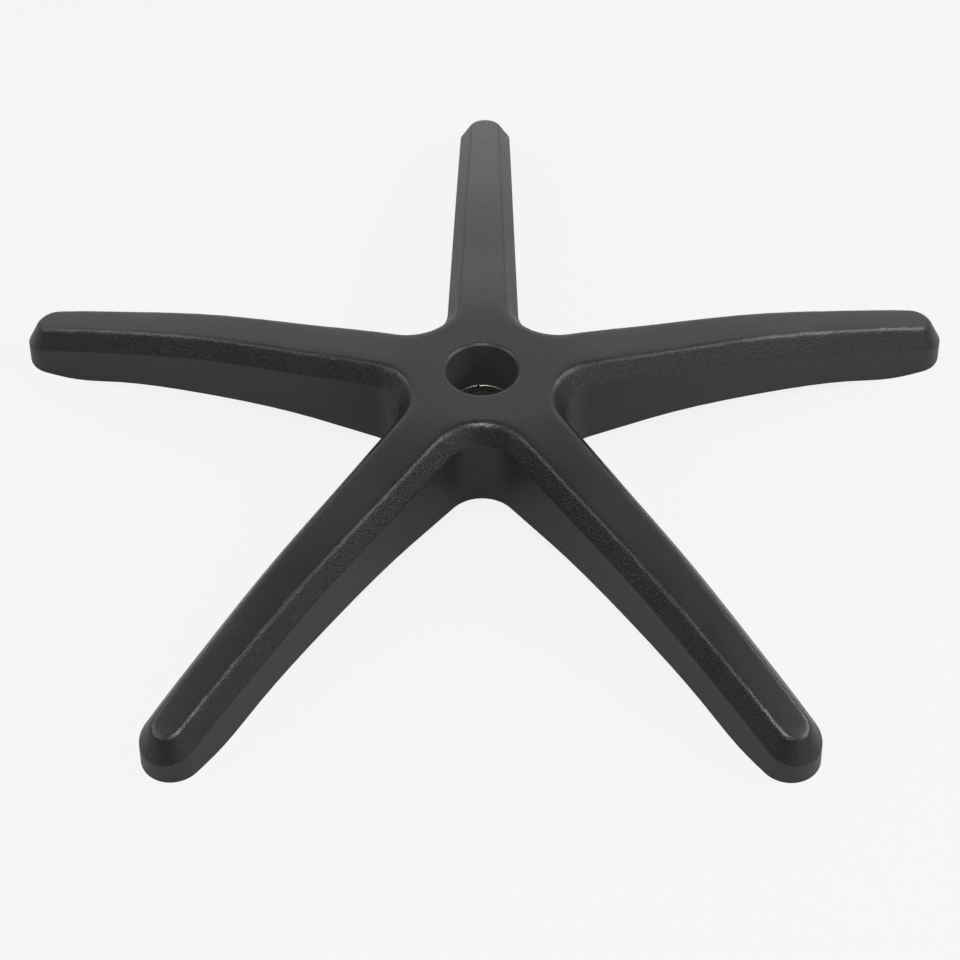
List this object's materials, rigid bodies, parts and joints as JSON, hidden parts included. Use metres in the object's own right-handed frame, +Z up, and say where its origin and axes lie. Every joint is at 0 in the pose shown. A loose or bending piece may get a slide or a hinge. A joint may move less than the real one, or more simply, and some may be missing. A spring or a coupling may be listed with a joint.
{
  "type": "office chair five star base",
  "caption": "Moulded star base for a swivel chair: arched shouldered arms, ribbed underside, tapered column seat in the hub and caster sockets in the arm ends.",
  "frame": {"origin": "centre of the column bore at the top of its straight wall, just under the chamfered mouth in the hub's top", "axes": "+Z up along the column bore, +Y along one arm, +X to the right when that arm points away"},
  "size_m": [0.6694, 0.6386, 0.0825],
  "materials": {
    "black_nylon": "black glass-filled nylon, fine grain on the tops, coarse grain on the shoulders, smooth lower walls",
    "ring_steel": "bare rolled spring steel"
  },
  "bodies": {
    "root": {"base_moulding": "black_nylon", "hub_ring": "ring_steel"}
  },
  "joints": []
}
